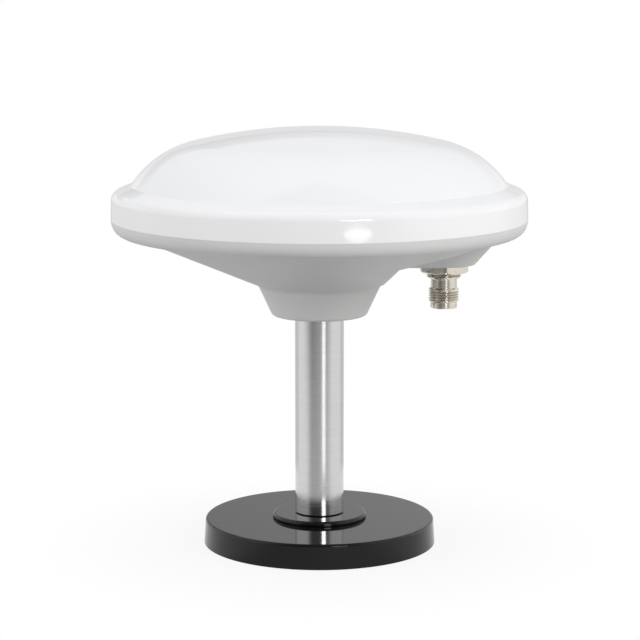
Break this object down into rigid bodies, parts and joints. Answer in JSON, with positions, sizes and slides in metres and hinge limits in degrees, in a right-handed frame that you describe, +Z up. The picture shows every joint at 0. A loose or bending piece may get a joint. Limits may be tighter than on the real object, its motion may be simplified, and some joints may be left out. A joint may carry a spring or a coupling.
{
  "type": "satellite positioning antenna",
  "caption": "Domed white satellite positioning antenna on a short steel pole, with a coaxial jack under its grey housing and a round black magnetic foot.",
  "frame": {"origin": "centre of the foot's underside, on the pole's axis and on the surface it stands on", "axes": "+Z up along the pole, +X towards the coaxial jack, +Y to the back"},
  "size_m": [0.152, 0.152, 0.1543],
  "materials": {
    "radome_plastic": "glossy moulded",
    "housing_plastic": "satin moulded",
    "plated_brass": "bright plated",
    "pole_steel": "polished with fine turning lines",
    "black_gloss": "mirror gloss",
    "black_plastic": "matte moulded",
    "black_rubber": "matte",
    "zinc_steel": "zinc plated",
    "magnet_metal": "plated",
    "board_laminate": "glossy lacquer",
    "patch_sheet": "rolled sheet",
    "tinned_sheet": "tinned sheet",
    "natural_nylon": "natural",
    "white_insulator": "waxy white",
    "gilt_brass": "gilt",
    "lead_jacket": "smooth brown jacket"
  },
  "bodies": {
    "root": {"radome": "radome_plastic", "lower_housing": "housing_plastic", "connector_body": "plated_brass", "connector_nut": "plated_brass", "radome_seal": "black_rubber", "threaded_insert": "plated_brass", "circuit_board": "board_laminate", "board_screws": "zinc_steel", "lna_shield_can": "tinned_sheet", "lower_patch_plate": "patch_sheet", "lower_spacers": "natural_nylon", "upper_patch_plate": "patch_sheet", "upper_spacers": "natural_nylon", "plate_screws": "natural_nylon", "plate_nuts": "natural_nylon", "centre_post": "patch_sheet", "centre_screw": "zinc_steel", "feed_pins": "gilt_brass", "inner_coax_lead": "lead_jacket", "connector_insulator": "white_insulator", "connector_contact": "gilt_brass", "connector_seal": "black_rubber", "pole_tube": "pole_steel", "foot_collar": "black_gloss", "base_cover": "black_gloss", "pole_top_stud": "zinc_steel", "pole_foot_plug": "zinc_steel", "backing_plate": "zinc_steel", "magnet_tray": "black_plastic", "magnet_discs": "magnet_metal", "tray_screws": "zinc_steel", "base_pad": "black_rubber", "centre_bolt": "zinc_steel"}
  },
  "joints": []
}
